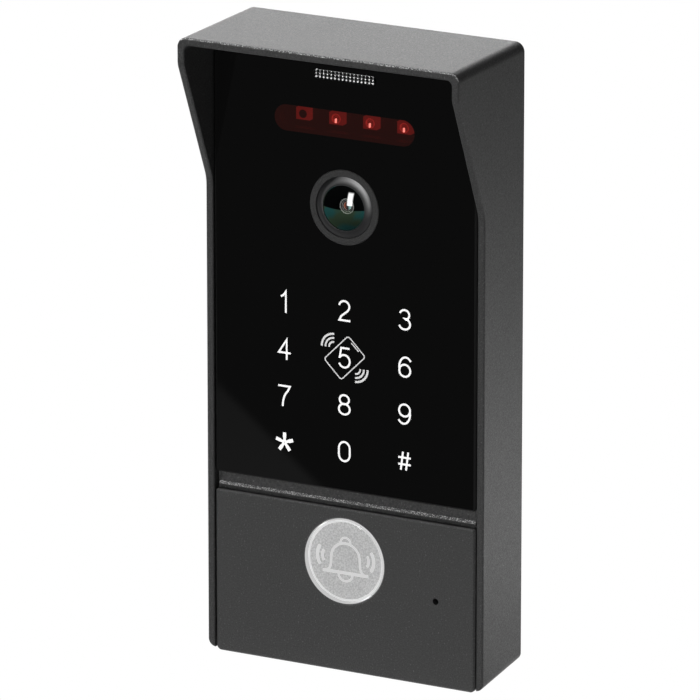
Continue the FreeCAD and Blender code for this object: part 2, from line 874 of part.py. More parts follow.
def make_infrared_board(doc, size):
    board = Piece(doc, "infrared_board", up=size.infrared_up)
    high = INFRARED_BOARD_BACK + INFRARED_BOARD
    board.pad([Box(-27, 27, -5.2, 5.2)], INFRARED_BOARD_BACK, high)
    board.cut(circles([(-INFRARED_REACH, 0), (INFRARED_REACH, 0)], 1.05), 0, high + 1)
    return board


def lamp_package(piece, spots, tall, cup_radius, cup_depth):
    """Small square lamp bodies with a round cup in each front face."""
    base = INFRARED_BOARD_BACK + INFRARED_BOARD
    piece.pad([Box(x - 1.75, x + 1.75, -1.4, 1.4) for x in spots], base, base + tall)
    piece.cut([Circle(x, 0, cup_radius) for x in spots], base + tall - cup_depth, base + tall + 1)
    return piece


def make_infrared_lamps(doc, size):
    lamps = Piece(doc, "infrared_lamps", up=size.infrared_up)
    return lamp_package(lamps, infrared_spots(size)[1:], 1.9, 1.2, 0.9)


def make_light_sensor(doc, size):
    sensor = Piece(doc, "light_sensor", up=size.infrared_up)
    return lamp_package(sensor, infrared_spots(size)[:1], 1.5, 1.0, 0.4)


# ---------------------------------------------------------------- keypad


KEY_BOARD_BACK = 14.6


def make_keypad_board(doc, size):
    board = Piece(doc, "keypad_board")
    board.pad([key_area(size, 0.7)], KEY_BOARD_BACK, size.inner_face - CLEAR)
    return board


def make_keypad_lamps(doc, size):
    lamps = Piece(doc, "keypad_lamps")
    low = size.inner_face - CLEAR
    lamps.pad([Box(x - 1.0, x + 1.0, y - 0.6, y + 0.6) for x, y in key_spots(size)], low, low + 0.6)
    return lamps


def make_keypad_light_guide(doc, size):
    guide = Piece(doc, "keypad_light_guide")
    guide.pad([key_area(size, -0.1)], size.inner_face + 0.65, size.glass_back - 0.05)
    guide.round(0.8, all_outward)
    return guide


def make_reader_coil(doc, size):
    """The card reader's flat aerial, on the back of the keypad board."""
    coil = Piece(doc, "reader_coil")
    coil.pad([key_area(size, -1.0)], KEY_BOARD_BACK - 0.4, KEY_BOARD_BACK)
    coil.round(3.0, all_outward)
    coil.cut([key_area(size, -4.5)], KEY_BOARD_BACK - 1, KEY_BOARD_BACK + 1)
    return coil


def make_keypad_flex(doc, size):
    flex = Piece(doc, "keypad_flex")
    high = size.main_board_back + size.board
    flex.pad([Box(-5, 5, -12, -4)], KEY_BOARD_BACK - 0.3, KEY_BOARD_BACK)
    flex.pad([Box(-5, 5, -12.3, -12)], high, KEY_BOARD_BACK)
    return flex


# ---------------------------------------------------------------- main board


def make_main_board(doc, size):
    low = size.main_board_back
    high = low + size.board
    board = Piece(doc, "main_board")
    board.pad([Box(-27.4, 27.4, -62.5, 22)], low, high)
    board.cut(circles(MAIN_BOARD_SPOTS, 1.05), low - 1, high + 1)
    return board


def make_board_chips(doc, size):
    """Processor, audio amplifier and supply chips."""
    low = size.main_board_back + size.board
    chips = Piece(doc, "board_chips")
    chips.pad([Box(-19, -7, 0, 12), Box(8, 16, 2, 10), Box(10, 17, -26, -19)], low, low + 1.4)
    return chips


def make_terminal_block(doc, size):
    """Five screw terminals on the board's back, reached through the opening in the back shell."""
    high = size.main_board_back
    low = high - 4.9
    block = Piece(doc, "terminal_block")
    block.pad([Box(-13, 13, -3.0, 6.5)], low, high)
    places = [5.0 * step for step in range(-2, 3)]
    block.cut([Circle(x, 3.0, 1.7) for x in places], low - 1, low + 2.0)
    block.cut_upward([Box(x - 1.6, x + 1.6, low + 0.9, high - 0.9) for x in places], -4.0, 0.5)
    return block


def make_terminal_screws(doc, size):
    low = size.main_board_back - 4.9
    places = [5.0 * step for step in range(-2, 3)]
    screws = Piece(doc, "terminal_screws")
    screws.pad([Circle(x, 3.0, 1.6) for x in places], low + 0.3, low + 1.95)
    screws.cut([Box(x - 1.3, x + 1.3, 2.75, 3.25) for x in places], low, low + 0.9)
    return screws


def make_board_screws(doc, size):
    """Equal screws for the main, camera and infrared boards."""
    seats = [(MAIN_BOARD_SPOTS, size.main_board_back)]
    seats.append((camera_board_spots(size), as_size(CAMERA_BOARD_BACK)))
    seats.append((infrared_board_spots(size), as_size(INFRARED_BOARD_BACK)))
    screws = Piece(doc, "board_screws")
    for spots, seat in seats:
        screws.pad(circles(spots, 1.7), seat - BOARD_SCREW_HEAD, seat - CLEAR)
        screws.pad(circles(spots, 0.9), seat - 0.3, seat + BOARD_SCREW_REACH)
        screws.cut(circles(spots, 0.6), seat - 2, seat - 0.7)
    return screws


# ---------------------------------------------------------------- bell button


FACE_RADIUS = 9.9
FACE_DEPTH = 1.2
FLANGE_BACK = 16.9
DISC_BACK = 15.9
GUIDE_FRONT = 10.4
SWITCH_FRONT = 12.5
STEM_FRONT = 13.2


def make_bell_button_cap(doc, size):
    """Clear cap with a flange behind the cover plate; it is hollow behind its front layer."""
    reach = size.button_radius
    front = size.button_front
    cap = Piece(doc, "bell_button_cap", up=size.button_up)
    flange = size.plate_back - CLEAR
    inside = front - FACE_DEPTH
    cap.turn((FACE_RADIUS + 0.05, FLANGE_BACK), (11.2, FLANGE_BACK), (11.2, flange), (reach, flange),
             (reach, front - 0.4), (reach - 0.12, front - 0.12), (reach - 0.4, front), (0, front),
             (0, inside), (FACE_RADIUS + 0.05, inside))
    return cap


def make_bell_button_face(doc, size):
    """Printed silver disc behind the cap's clear front layer."""
    high = size.button_front - FACE_DEPTH - CLEAR
    face = Piece(doc, "bell_button_face", up=size.button_up)
    face.pad([Circle(0, 0, FACE_RADIUS)], high - 0.2, high)
    return face


def make_button_plunger(doc, size):
    plunger = Piece(doc, "button_plunger", up=size.button_up)
    high = size.button_front - FACE_DEPTH - 0.2 - 2 * CLEAR
    plunger.turn((0, STEM_FRONT + 0.01), (2.0, STEM_FRONT + 0.01), (2.0, DISC_BACK),
                 (FACE_RADIUS, DISC_BACK), (FACE_RADIUS, high), (0, high))
    return plunger


def make_button_seal(doc, size):
    """Wiping ring in the cover plate, round the cap."""
    low = size.plate_back
    seal = Piece(doc, "button_seal", up=size.button_up)
    seal.pad([Circle(0, 0, 11.65), Circle(0, 0, size.button_radius + 0.05)], low + 0.02, low + 0.88)
    return seal


def make_button_guide(doc, size):
    """Ring on the main board: the return spring's seat, and the stop at the end of the travel."""
    board_front = size.main_board_back + size.board
    stop = FLANGE_BACK - size.button_travel - 0.1
    guide = Piece(doc, "button_guide", up=size.button_up)
    guide.pad([Circle(0, 0, 11.4), Circle(0, 0, 10.4)], board_front + CLEAR, stop)
    guide.pad([Circle(0, 0, 10.9), Circle(0, 0, 5.3)], GUIDE_FRONT - 0.5, GUIDE_FRONT)
    return guide


def make_return_spring(doc, size):
    wire = 0.25
    coil = 7.2
    low = GUIDE_FRONT + wire + 0.03
    high = DISC_BACK - wire - 0.03
    spring = Piece(doc, "return_spring", up=size.button_up, out=low)
    sketch = spring.sketch([Circle(coil, 0, wire)], "XZ_Plane")
    helix = spring.feature("AdditiveHelix", "coil", sketch)
    helix.ReferenceAxis = (sketch, ["V_Axis"])
    helix.Mode = "height-turns-angle"
    helix.Angle = 0
    helix.Height = high - low
    helix.Turns = 3.5
    doc.recompute()
    return spring


def make_switch_body(doc, size):
    low = size.main_board_back + size.board
    switch = Piece(doc, "switch_body", up=size.button_up)
    switch.pad([Box(-3, 3, -3, 3)], low, SWITCH_FRONT)
    switch.cut([Circle(0, 0, 1.8)], low + 0.4, SWITCH_FRONT + 1)
    return switch


def make_switch_stem(doc, size):
    stem = Piece(doc, "switch_stem", up=size.button_up)
    stem.pad([Circle(0, 0, 1.75)], 10.4, STEM_FRONT)
    return stem


def make_button_lamps(doc, size):
    """Four small lamps that light the button through its guide."""
    low = size.main_board_back + size.board
    spots = [(7.3, 0), (-7.3, 0), (0, 7.3), (0, -7.3)]
    lamps = Piece(doc, "button_lamps", up=size.button_up)
    lamps.pad([Box(x - 0.8, x + 0.8, y - 0.4, y + 0.4) for x, y in spots], low, low + 0.6)
    return lamps


# ---------------------------------------------------------------- microphone


def make_microphone(doc, size):
    capsule = Piece(doc, "microphone", x=size.mic_across, up=size.mic_up)
    front = size.inner_face - 1.1
    board_front = size.main_board_back + size.board
    capsule.pad([Circle(0, 0, 3.0)], front - 2.2, front)
    capsule.cut([Circle(0, 0, 0.6)], front - 0.6, front + 1)
    capsule.pad([Circle(-1.27, 0, 0.25), Circle(1.27, 0, 0.25)], board_front, front - 2.1)
    return capsule


def make_microphone_boot(doc, size):
    boot = Piece(doc, "microphone_boot", x=size.mic_across, up=size.mic_up)
    low = size.inner_face - 3.4
    lip = size.inner_face - 1.05
    high = size.inner_face - CLEAR
    boot.turn((3.05, low), (4.3, low), (4.3, high), (1.2, high), (1.2, lip), (3.05, lip))
    return boot


MAKERS = [
    make_rain_hood, make_wall_gasket, make_cable_grommet, make_hood_fixing_screws,
    make_rear_housing, make_housing_gasket, make_housing_screws, make_front_housing,
    make_glass_panel, make_glass_adhesive, make_infrared_window,
    make_lower_plate, make_plate_adhesive,
    make_speaker_mesh, make_speaker_basket, make_speaker_magnet, make_speaker_cone,
    make_speaker_gasket,
    make_camera_ring, make_lens_barrel, make_lens_front_element, make_lens_baffle,
    make_lens_inner_element, make_lens_holder, make_image_sensor, make_camera_board,
    make_camera_flex,
    make_infrared_board, make_infrared_lamps, make_light_sensor,
    make_keypad_board, make_keypad_lamps, make_keypad_light_guide, make_reader_coil,
    make_keypad_flex,
    make_main_board, make_board_chips, make_terminal_block, make_terminal_screws,
    make_board_screws,
    make_bell_button_cap, make_bell_button_face, make_button_plunger, make_button_seal,
    make_button_guide, make_return_spring, make_switch_body, make_switch_stem, make_button_lamps,
    make_microphone, make_microphone_boot,
]


def check_objects(doc):
    """recompute() can leave an object failed without raising."""
    for item in doc.Objects:
        if "Invalid" in item.State or "Error" in item.State:
            raise ValueError(f"{item.Label} ({item.Name}) failed: {item.State}")


def export(piece):
    shape = piece.body.Shape
    name = piece.body.Label
    if shape.isNull() or not shape.isValid() or not shape.Solids:
        raise ValueError(f"{name} is not a valid solid")
    shape.exportStep(f"parts/{name}.step")


def main():
    doc = FreeCAD.newDocument("door_intercom_panel")
    size = Sheet(doc)
    doc.recompute()
    pieces = [make(doc, size) for make in MAKERS]
    doc.recompute()
    check_objects(doc)
    os.makedirs("parts", exist_ok=True)
    for piece in pieces:
        export(piece)


main()
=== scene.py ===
import json
import math

import bmesh
import bpy
from mathutils import Matrix, Vector


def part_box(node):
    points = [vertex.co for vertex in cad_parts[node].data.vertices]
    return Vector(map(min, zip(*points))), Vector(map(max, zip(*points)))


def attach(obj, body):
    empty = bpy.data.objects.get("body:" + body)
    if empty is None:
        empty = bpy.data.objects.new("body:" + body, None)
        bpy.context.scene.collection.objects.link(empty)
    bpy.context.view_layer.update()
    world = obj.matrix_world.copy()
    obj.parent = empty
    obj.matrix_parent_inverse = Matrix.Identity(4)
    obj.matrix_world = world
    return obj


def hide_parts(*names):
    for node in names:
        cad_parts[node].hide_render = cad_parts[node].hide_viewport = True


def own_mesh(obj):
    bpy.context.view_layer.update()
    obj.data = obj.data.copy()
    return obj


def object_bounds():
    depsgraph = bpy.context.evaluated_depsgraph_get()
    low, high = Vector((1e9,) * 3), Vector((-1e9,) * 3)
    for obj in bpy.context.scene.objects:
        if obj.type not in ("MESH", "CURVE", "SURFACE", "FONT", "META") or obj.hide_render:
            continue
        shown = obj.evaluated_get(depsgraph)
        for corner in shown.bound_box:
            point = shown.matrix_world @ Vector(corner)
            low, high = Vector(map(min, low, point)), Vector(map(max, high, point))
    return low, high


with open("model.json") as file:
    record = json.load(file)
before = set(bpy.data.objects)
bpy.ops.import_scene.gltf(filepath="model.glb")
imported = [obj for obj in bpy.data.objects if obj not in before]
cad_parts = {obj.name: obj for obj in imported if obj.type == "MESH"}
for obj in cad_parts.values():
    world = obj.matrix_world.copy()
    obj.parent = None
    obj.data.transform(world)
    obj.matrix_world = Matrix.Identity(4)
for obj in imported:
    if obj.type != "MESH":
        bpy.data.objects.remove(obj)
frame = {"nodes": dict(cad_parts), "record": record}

# A door intercom panel on a wall, lit by a soft studio. Lengths are written in millimetres and
# turned into metres by MM, except for positions inside shaders and in the studio, which are in
# metres. X is to the right, Z is up and the front looks along -Y.

MM = 0.001

cad_low, cad_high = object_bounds()


def place(x, out, up):
    """A point in metres from millimetres to the right, out of the wall and up."""
    return Vector((x * MM, -out * MM, up * MM))


def grey(level):
    return level, level, level


class NodeBox:
    """The space that a CAD node takes up at rest, in millimetres."""

    def __init__(self, node):
        low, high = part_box(node)
        self.left, self.right = low.x / MM, high.x / MM
        self.back, self.front = -high.y / MM, -low.y / MM
        self.bottom, self.top = low.z / MM, high.z / MM
        self.width = self.right - self.left
        self.depth = self.front - self.back
        self.height = self.top - self.bottom
        self.centre_x = (self.left + self.right) / 2
        self.centre_out = (self.back + self.front) / 2
        self.centre_up = (self.bottom + self.top) / 2


# ---------------------------------------------------------------- shader building


class Nodes:
    """Adds nodes to one node tree and links them."""

    def __init__(self, tree):
        self.tree = tree

    def connect(self, socket, value):
        """Links a socket to another one, or gives it a fixed value."""
        if isinstance(value, bpy.types.NodeSocket):
            self.tree.links.new(value, socket)
        elif isinstance(value, tuple) and len(value) == 3 and socket.type == "RGBA":
            socket.default_value = (*value, 1.0)
        else:
            socket.default_value = value

    def set(self, node, **inputs):
        for name, value in inputs.items():
            self.connect(node.inputs[name.replace("_", " ")], value)

    def add(self, kind, settings=None, **inputs):
        node = self.tree.nodes.new(kind)
        for name, value in (settings or {}).items():
            setattr(node, name, value)
        self.set(node, **inputs)
        return node

    def axes(self, kind, output):
        """The X, Y and Z parts of a vector that comes out of a new node of this kind."""
        vector = self.add(kind).outputs[output]
        return self.add("ShaderNodeSeparateXYZ", Vector=vector).outputs

    def position_axes(self):
        return self.axes("ShaderNodeTexCoord", "Object")

    def normal_axes(self):
        return self.axes("ShaderNodeNewGeometry", "True Normal")

    def mirrored_axes(self):
        """The direction that a mirror on the surface would show."""
        return self.axes("ShaderNodeTexCoord", "Reflection")

    def light_path(self, question):
        return self.add("ShaderNodeLightPath").outputs[question]

    def backfacing(self):
        return self.add("ShaderNodeNewGeometry").outputs["Backfacing"]

    def level(self, value, start, stop, low, high):
        """Goes from low to high while the value goes from start to stop."""
        node = self.add("ShaderNodeMapRange", Value=value, From_Min=start, From_Max=stop,
                        To_Min=low, To_Max=high)
        return node.outputs["Result"]

    def between(self, factor, low, high):
        """Maps a factor from 0..1 to low..high."""
        return self.level(factor, 0.0, 1.0, low, high)

    def slope(self, value, start, stop):
        """Rises from 0 to 1 while the value goes from start to stop."""
        return self.level(value, start, stop, 0.0, 1.0)

    def combine(self, operation, first, second):
        node = self.add("ShaderNodeMath", {"operation": operation})
        self.connect(node.inputs[0], first)
        self.connect(node.inputs[1], second)
        return node.outputs["Value"]

    def product(self, *factors):
        total = factors[0]
        for factor in factors[1:]:
            total = self.combine("MULTIPLY", total, factor)
        return total

    def blend(self, factor, first, second):
        """Goes from the first value to the second as the factor goes from 0 to 1."""
        node = self.add("ShaderNodeMix", {"data_type": "FLOAT"})
        for index, value in ((0, factor), (2, first), (3, second)):
            self.connect(node.inputs[index], value)
        return node.outputs[0]

    def ramp(self, factor, *stops):
        """Turns a factor into a colour; the stops are (factor, colour)."""
        node = self.add("ShaderNodeValToRGB", Fac=factor)
        elements = node.color_ramp.elements
        for index, (stop, colour) in enumerate(stops):
            element = elements[index] if index < 2 else elements.new(stop)
            element.position = stop
            element.color = (*colour, 1.0)
        return node.outputs["Color"]

    def mixed_shader(self, share, first, second):
        """Two shaders in one; share is how much of the second shows."""
        node = self.add("ShaderNodeMixShader", Fac=share)
        self.connect(node.inputs[1], first)
        self.connect(node.inputs[2], second)
        return node.outputs["Shader"]

    def added_shader(self, first, second):
        node = self.add("ShaderNodeAddShader")
        self.connect(node.inputs[0], first)
        self.connect(node.inputs[1], second)
        return node.outputs["Shader"]

    def emission(self, **inputs):
        return self.add("ShaderNodeEmission", **inputs).outputs["Emission"]

    def transparent(self, **inputs):
        return self.add("ShaderNodeBsdfTransparent", **inputs).outputs["BSDF"]


class Shader(Nodes):
    """A material built around one Principled shader."""

    def __init__(self, name, colour, roughness, metallic=0.0, **inputs):
        self.material = bpy.data.materials.new(name)
        self.material.use_nodes = True
        super().__init__(self.material.node_tree)
        self.main = self.tree.nodes["Principled BSDF"]
        self.set(self.main, Base_Color=colour, Roughness=roughness, Metallic=metallic, **inputs)
        self.base = colour
        self.roughness = roughness

    def surface(self, shader):
        """Shows another shader instead of the Principled one."""
        self.set(self.tree.nodes["Material Output"], Surface=shader)

    def glow(self, colour, strength):
        self.set(self.main, Emission_Color=colour, Emission_Strength=strength)

    def position(self):
        """The point in the row frame, the same for every piece."""
        return self.add("ShaderNodeTexCoord").outputs["Object"]

    def noise(self, grain, detail=2.0, stretch=(1.0, 1.0, 1.0)):
        """Noise whose features are about grain millimetres across."""
        scaled = self.add("ShaderNodeMapping", Vector=self.position(), Scale=stretch)
        node = self.add("ShaderNodeTexNoise", Vector=scaled.outputs["Vector"],
                        Scale=1.0 / (grain * MM), Detail=detail)
        return node.outputs["Fac"]

    def cells(self, grain):
        """Distance inside grains that are about grain millimetres across."""
        node = self.add("ShaderNodeTexVoronoi", Vector=self.position(), Scale=1.0 / (grain * MM))
        return node.outputs["Distance"]

    def bump(self, height, depth):
        """Bumps the surface by the height, depth in millimetres from its lowest to highest."""
        node = self.add("ShaderNodeBump", Height=height, Distance=depth * MM, Strength=1.0)
        self.set(self.main, Normal=node.outputs["Normal"])

    def mottle(self, grain, spread):
        """Varies the base colour a little in patches."""
        low = tuple(channel * (1 - spread) for channel in self.base)
        high = tuple(min(1.0, channel * (1 + spread)) for channel in self.base)
        self.set(self.main, Base_Color=self.ramp(self.noise(grain), (0.35, low), (0.65, high)))

    def scuff(self, grain, spread):
        """Varies the roughness a little in patches."""
        low = max(0.0, self.roughness - spread)
        high = min(1.0, self.roughness + spread)
        self.set(self.main, Roughness=self.between(self.noise(grain, 3.0), low, high))


# ---------------------------------------------------------------- materials


def powder_coat(name, shade, grain, depth, roughness, painted_glint_strength):
    """Sand-textured paint with an uneven grain; specks on slopes that face up and ahead get a
    painted glint, a glow for facets that catch the light.
    """
    paint = Shader(name, grey(shade), roughness)
    colour = paint.ramp(paint.noise(grain * 1.6, 3.0), (0.32, grey(shade * 0.88)),
                        (0.64, grey(shade * 1.12)), (0.72, grey(shade * 3.0)))
    gloss = paint.ramp(paint.noise(grain * 1.1, 2.0), (0.35, grey(0.30)), (0.65, grey(0.70)))
    paint.set(paint.main, Base_Color=colour, Specular_IOR_Level=gloss)
    paint.bump(paint.noise(grain, 3.0), depth)
    paint.scuff(grain * 2.0, 0.10)
    # Painted glints: a glow on specks of slopes that face up and ahead, where facets would catch the
    # light.
    normal = paint.normal_axes()
    rising = paint.slope(normal["Z"], 0.15, 0.45)
    not_flat = paint.slope(normal["Z"], 0.97, 0.90)
    ahead = paint.slope(normal["Y"], -0.15, -0.40)
    glint_specks = paint.slope(paint.noise(0.24, 2.0), 0.50, 0.66)
    painted_glints = paint.product(rising, not_flat, ahead, glint_specks)
    paint.glow(grey(1.0), paint.between(painted_glints, 0.0, painted_glint_strength))
    return paint.material


def metal(name, colour, roughness):
    """Bare metal with a very fine grain."""
    item = Shader(name, colour, roughness, 1.0)
    item.mottle(2.0, 0.06)
    item.bump(item.noise(0.08, 2.0), 0.004)
    item.scuff(0.8, 0.06)
    return item.material


def plastic(name, colour, roughness, grain=0.25, **inputs):
    """Moulded plastic with a fine spark-eroded texture."""
    item = Shader(name, colour, roughness, **inputs)
    item.mottle(3.0, 0.07)
    item.bump(item.noise(grain, 3.0), 0.006)
    item.scuff(1.5, 0.05)
    return item.material


def rubber(name, colour):
    item = Shader(name, colour, 0.75, Specular_IOR_Level=0.3)
    item.mottle(1.0, 0.15)
    item.bump(item.noise(0.12, 4.0), 0.01)
    return item.material


def foam(name, colour):
    """Closed-cell foam tape: open round pores."""
    item = Shader(name, colour, 0.9, Specular_IOR_Level=0.2)
    item.mottle(0.5, 0.2)
    item.bump(item.cells(0.35), 0.08)
    return item.material


def see_through(item, tint, gloss_colour, roughness, rim, body):
    """Makes a shader clear without bending light, with a mirror coat that grows at the rim.
    The body is (share, colour): how much of the piece is cloudy, and the colour of the painted glow
    that stands for the cloud's light."""
    share, colour = body
    # The cloud is a painted glow, an emission mixed into the clear part.
    inside = item.mixed_shader(share, item.transparent(Color=tint), item.emission(Color=colour))
    mirror = item.add("ShaderNodeBsdfGlossy", Color=gloss_colour, Roughness=roughness)
    fresnel = item.add("ShaderNodeFresnel", IOR=rim)
    # The coat shows on outer faces only, and casts no shadow.
    coat = item.product(fresnel.outputs["Fac"],
                        item.slope(item.light_path("Is Shadow Ray"), 1.0, 0.0),
                        item.slope(item.backfacing(), 1.0, 0.0))
    item.surface(item.mixed_shader(coat, inside, mirror.outputs["BSDF"]))
    return item.material


def black_glass(name):
    """Back-painted glass: nearly black and polished, with a ground edge all round, and a faint
    painted glow that lifts it evenly.
    """
    polish = 0.035
    item = Shader(name, grey(0.0016), polish, IOR=1.17)
    ground = item.slope(item.normal_axes()["Y"], -0.98, -0.90)
    item.set(item.main, Base_Color=item.ramp(ground, (0.0, item.base), (1.0, grey(0.020))),
             Roughness=item.between(ground, polish, 0.45))
    # A faint even painted glow, not lit by any lamp.
    item.glow(grey(1.0), 0.0022)
    item.bump(item.noise(9.0, 1.0), 0.002)
    return item.material


def dark_window(name):
    """Deep red acrylic in front of the infrared lamps, with a painted glow for its haze."""
    item = Shader(name, (0.03, 0.004, 0.004), 0.06)
    tint = item.ramp(item.noise(4.0), (0.3, (0.62, 0.10, 0.09)), (0.7, (0.68, 0.12, 0.11)))
    # The haze is a painted glow.
    haze_glow = (0.45, (0.027, 0.0105, 0.0092))
    return see_through(item, tint, grey(0.5), 0.05, 1.2, haze_glow)


def lens_glass(name, reflection_tint):
    """Coated lens glass: clear, with a painted reflection, a glow, of a pale table below and a tall
    soft lamp ahead.
    """
    item = Shader(name, grey(1.0), 0.0)
    # Painted reflections: glows set by the direction that a mirror on the glass would show.
    mirrored = item.mirrored_axes()
    table = item.slope(mirrored["Z"], -0.275, -0.30)
    fade = item.slope(mirrored["Z"], -1.25, -0.35)
    lamp = item.product(item.slope(mirrored["X"], -0.13, -0.08),
                        item.slope(mirrored["X"], 0.20, 0.14),
                        item.slope(mirrored["Z"], -0.05, -0.02),
                        item.slope(mirrored["Z"], 0.62, 0.54),
                        item.slope(mirrored["Y"], 0.0, -0.1))
    zones = item.ramp(item.noise(4.0, 1.0), (0.42, reflection_tint), (0.58, (0.022, 0.038, 0.022)))
    below = item.emission(Color=zones, Strength=item.product(table, fade))
    painted_reflections = item.added_shader(below, item.emission(Strength=lamp))
    item.surface(item.added_shader(painted_reflections, item.transparent(Color=(0.80, 0.85, 0.86))))
    return item.material


def clear_acrylic(name):
    """Clear from the front; its side walls are frosted, with a painted glow for the light they pick
    up inside.
    """
    item = Shader(name, grey(1.0), 0.02)
    tint = item.ramp(item.noise(5.0, 1.0), (0.3, grey(0.96)), (0.7, grey(0.98)))
    ahead = item.normal_axes()["Y"]
    wall = item.product(item.slope(ahead, -0.9, -0.5), item.slope(ahead, 0.9, 0.5))
    # The frosted walls get a painted glow.
    frost_glow = (item.between(wall, 0.0, 0.85), grey(0.66))
    return see_through(item, tint, grey(1.0), 0.02, 1.35, frost_glow)


def silver_print(name):
    """Frosted silver foil with a fine sparkling grain, and a painted glow that brightens it."""
    foil = Shader(name, grey(0.60), 0.5, 0.15)
    shade = foil.ramp(foil.noise(0.42, 3.0), (0.36, grey(0.53)), (0.64, grey(0.72)))
    foil.set(foil.main, Base_Color=shade)
    # A painted glow in the foil's own tone.
    foil.glow(shade, 0.33)
    foil.bump(foil.cells(0.16), 0.02)
    return foil.material


def white_print(name, glow, shade=0.85):
    """White legend ink that is lit from behind."""
    ink = Shader(name, grey(shade), 0.45)
    ink.mottle(0.4, 0.03)
    ink.glow(grey(1.0), ink.between(ink.noise(1.5, 1.0), glow * 0.94, glow * 1.06))
    return ink.material


def circuit_board(name, mask, track):
    """Solder mask with the pattern of tracks just under it."""
    board = Shader(name, mask, 0.35)
    bricks = board.add("ShaderNodeTexBrick", Vector=board.position(), Scale=1.0 / (2.4 * MM),
                       Color1=mask, Color2=tuple(c * 0.85 for c in mask), Mortar=track,
                       Mortar_Size=0.07)
    board.set(board.main, Base_Color=bricks.outputs["Color"])
    board.bump(bricks.outputs["Fac"], 0.03)
    board.scuff(2.0, 0.08)
    return board.material


def banded(name, base, roughness, metallic, direction, pitch, stops, depth):
    """Parallel bands, pitch in millimetres, coloured by the stops and raised by the depth."""
    item = Shader(name, base, roughness, metallic)
    waves = item.add("ShaderNodeTexWave", {"bands_direction": direction},
                     Vector=item.position(), Scale=1.0 / (pitch * MM)).outputs["Fac"]
    item.set(item.main, Base_Color=item.ramp(waves, *stops))
    item.bump(waves, depth)
    return item.material


def flat_cable(name):
    """Amber film over parallel copper lines."""
    stops = (0.45, (0.50, 0.20, 0.05)), (0.55, (0.72, 0.34, 0.10))
    return banded(name, (0.55, 0.22, 0.04), 0.3, 0.0, "X", 3.2, stops, 0.02)


def winding(name, colour):
    """Flat turns of lacquered copper wire."""
    stops = (0.2, tuple(c * 0.45 for c in colour)), (0.6, colour)
    return banded(name, colour, 0.3, 1.0, "DIAGONAL", 1.2, stops, 0.05)


def paper(name):
    """Dark pressed paper with fibres that lie one way."""
    fibre = Shader(name, (0.05, 0.048, 0.045), 0.85)
    fibre.mottle(0.8, 0.25)
    fibre.bump(fibre.noise(0.25, 6.0, (1.0, 3.0, 1.0)), 0.03)
    return fibre.material


def lamp_body(name):
    """Moulded lamp housing; a weak glow stands for the lit chip inside."""
    body = Shader(name, (0.75, 0.68, 0.62), 0.4)
    body.mottle(0.7, 0.08)
    body.bump(body.noise(0.15, 3.0), 0.01)
    body.glow((0.6, 1.0, 1.0), 1.0)
    return body.material


def diffuser(name):
    """Milky sheet that spreads the light of the lamps behind it."""
    sheet = Shader(name, grey(0.88), 0.5)
    sheet.mottle(1.5, 0.05)
    sheet.bump(sheet.cells(0.5), 0.05)
    sheet.glow(grey(1.0), 0.42)
    return sheet.material


def satin_black(name):
    """Turned black aluminium with a broad soft painted highlight, a glow where a mirror would show
    the lamp ahead.
    """
    item = Shader(name, (0.022, 0.022, 0.023), 0.38, 0.4)
    mirrored = item.mirrored_axes()
    # Painted highlight: a glow on the upper half where a mirror would show the lamp ahead.
    upper_half = item.slope(item.position_axes()["Z"], 0.0335, 0.0375)
    lamp = item.product(item.slope(mirrored["X"], -0.70, 0.05),
                        item.slope(mirrored["X"], 0.60, 0.10),
                        item.slope(mirrored["Z"], -0.45, 0.20),
                        item.slope(mirrored["Y"], 0.0, -0.3),
                        upper_half,
                        item.between(item.noise(0.25, 3.0), 0.24, 0.38))
    item.glow(grey(1.0), lamp)
    item.bump(item.noise(0.12, 3.0), 0.004)
    item.scuff(0.7, 0.06)
    return item.material


def pupil(name):
    """The small inner lens: a painted glow of a warm spark to the left and a cold one to the right.
    """
    item = Shader(name, (0.004, 0.004, 0.005), 0.08)
    across = item.slope(item.position_axes()["X"], -0.00085, 0.00085)
    tint = item.ramp(across, (0.0, (0.55, 0.12, 0.05)), (0.42, grey(0.01)), (0.60, grey(0.02)),
                     (0.85, (0.5, 0.8, 0.75)))
    # The sparks are a painted glow, warm to the left and cold to the right.
    item.glow(tint, 0.55)
    item.bump(item.noise(0.2, 2.0), 0.01)
    return item.material


def glowing(name, colour, strength):
    """A small part with a painted glow, bright and uneven, that throws no light on its surroundings.
    """
    item = Shader(name, colour, 0.3)
    item.mottle(0.3, 0.2)
    uneven = item.between(item.noise(0.6, 2.0), strength * 0.5, strength * 1.5)
    item.glow(colour, item.product(uneven, item.light_path("Is Camera Ray")))
    return item.material


